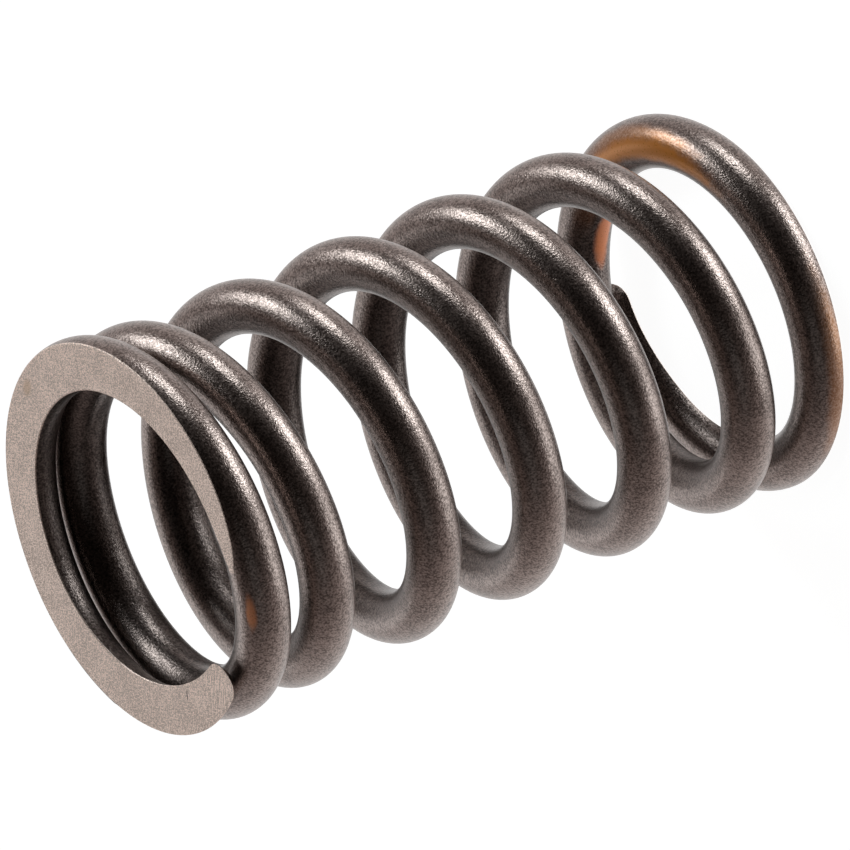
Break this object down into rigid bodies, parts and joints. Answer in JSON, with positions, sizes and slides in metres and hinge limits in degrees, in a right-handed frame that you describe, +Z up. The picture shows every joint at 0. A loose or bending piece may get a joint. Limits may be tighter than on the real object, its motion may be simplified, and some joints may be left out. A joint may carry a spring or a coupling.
{
  "type": "engine valve spring",
  "caption": "Helical compression spring of round wire, right-hand wound, with both ends closed and ground flat to seat on a cylinder head and under a valve retainer.",
  "frame": {"origin": "centre of the bottom ground face, on the coil axis", "axes": "+Z up along the coil axis; +X towards the bottom tip of the wire"},
  "size_m": [0.0305, 0.0301, 0.054],
  "materials": {
    "spring_steel": "dark satin shot-peened spring steel, with bare ground end faces and traces of orange marking paint"
  },
  "bodies": {
    "root": {"valve_spring": "spring_steel"}
  },
  "joints": []
}
